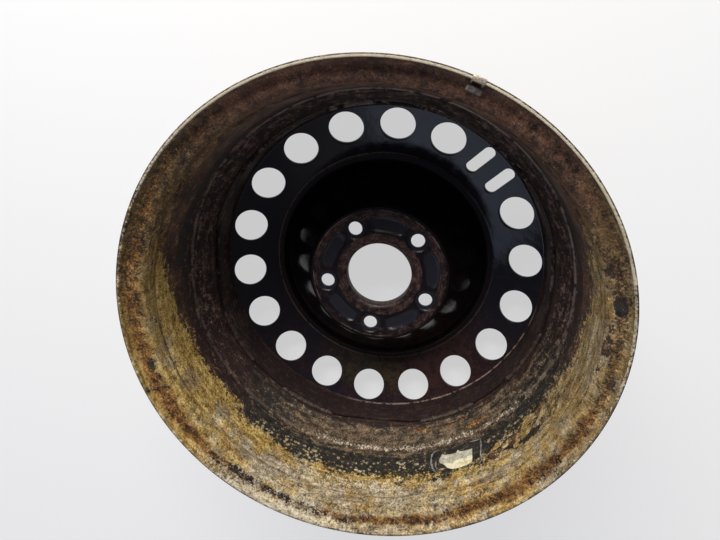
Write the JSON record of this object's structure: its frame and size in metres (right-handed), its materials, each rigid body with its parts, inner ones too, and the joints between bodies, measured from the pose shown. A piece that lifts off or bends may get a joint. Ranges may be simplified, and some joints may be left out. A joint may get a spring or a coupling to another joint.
{
  "type": "steel wheel rim",
  "caption": "Pressed-steel road wheel lying inboard side up: rolled rim with a deep barrel and a welded stamped disc with a ring of round vents, bolt holes and a centre bore.",
  "frame": {"origin": "centre of the hub contact face, on the wheel's axis", "axes": "+Z along the wheel's axis towards the inboard side, +Y towards the slot pair and the valve hole"},
  "size_m": [0.4405, 0.4406, 0.2017],
  "materials": {
    "rusted_rim": "rusted and dusty black paint",
    "black_paint": "gloss black dip paint, rust on the contact rings",
    "weld_metal": "painted weld bead with rust",
    "clip_steel": "dull spring steel",
    "weight_zinc": "dirty grey zinc",
    "adhesive_foam": "torn pale foam tape"
  },
  "bodies": {
    "root": {"rim": "rusted_rim", "disc": "black_paint", "weld_seams": "weld_metal", "weight_clip": "clip_steel", "balance_weight": "weight_zinc", "adhesive_pad": "adhesive_foam"}
  },
  "joints": []
}
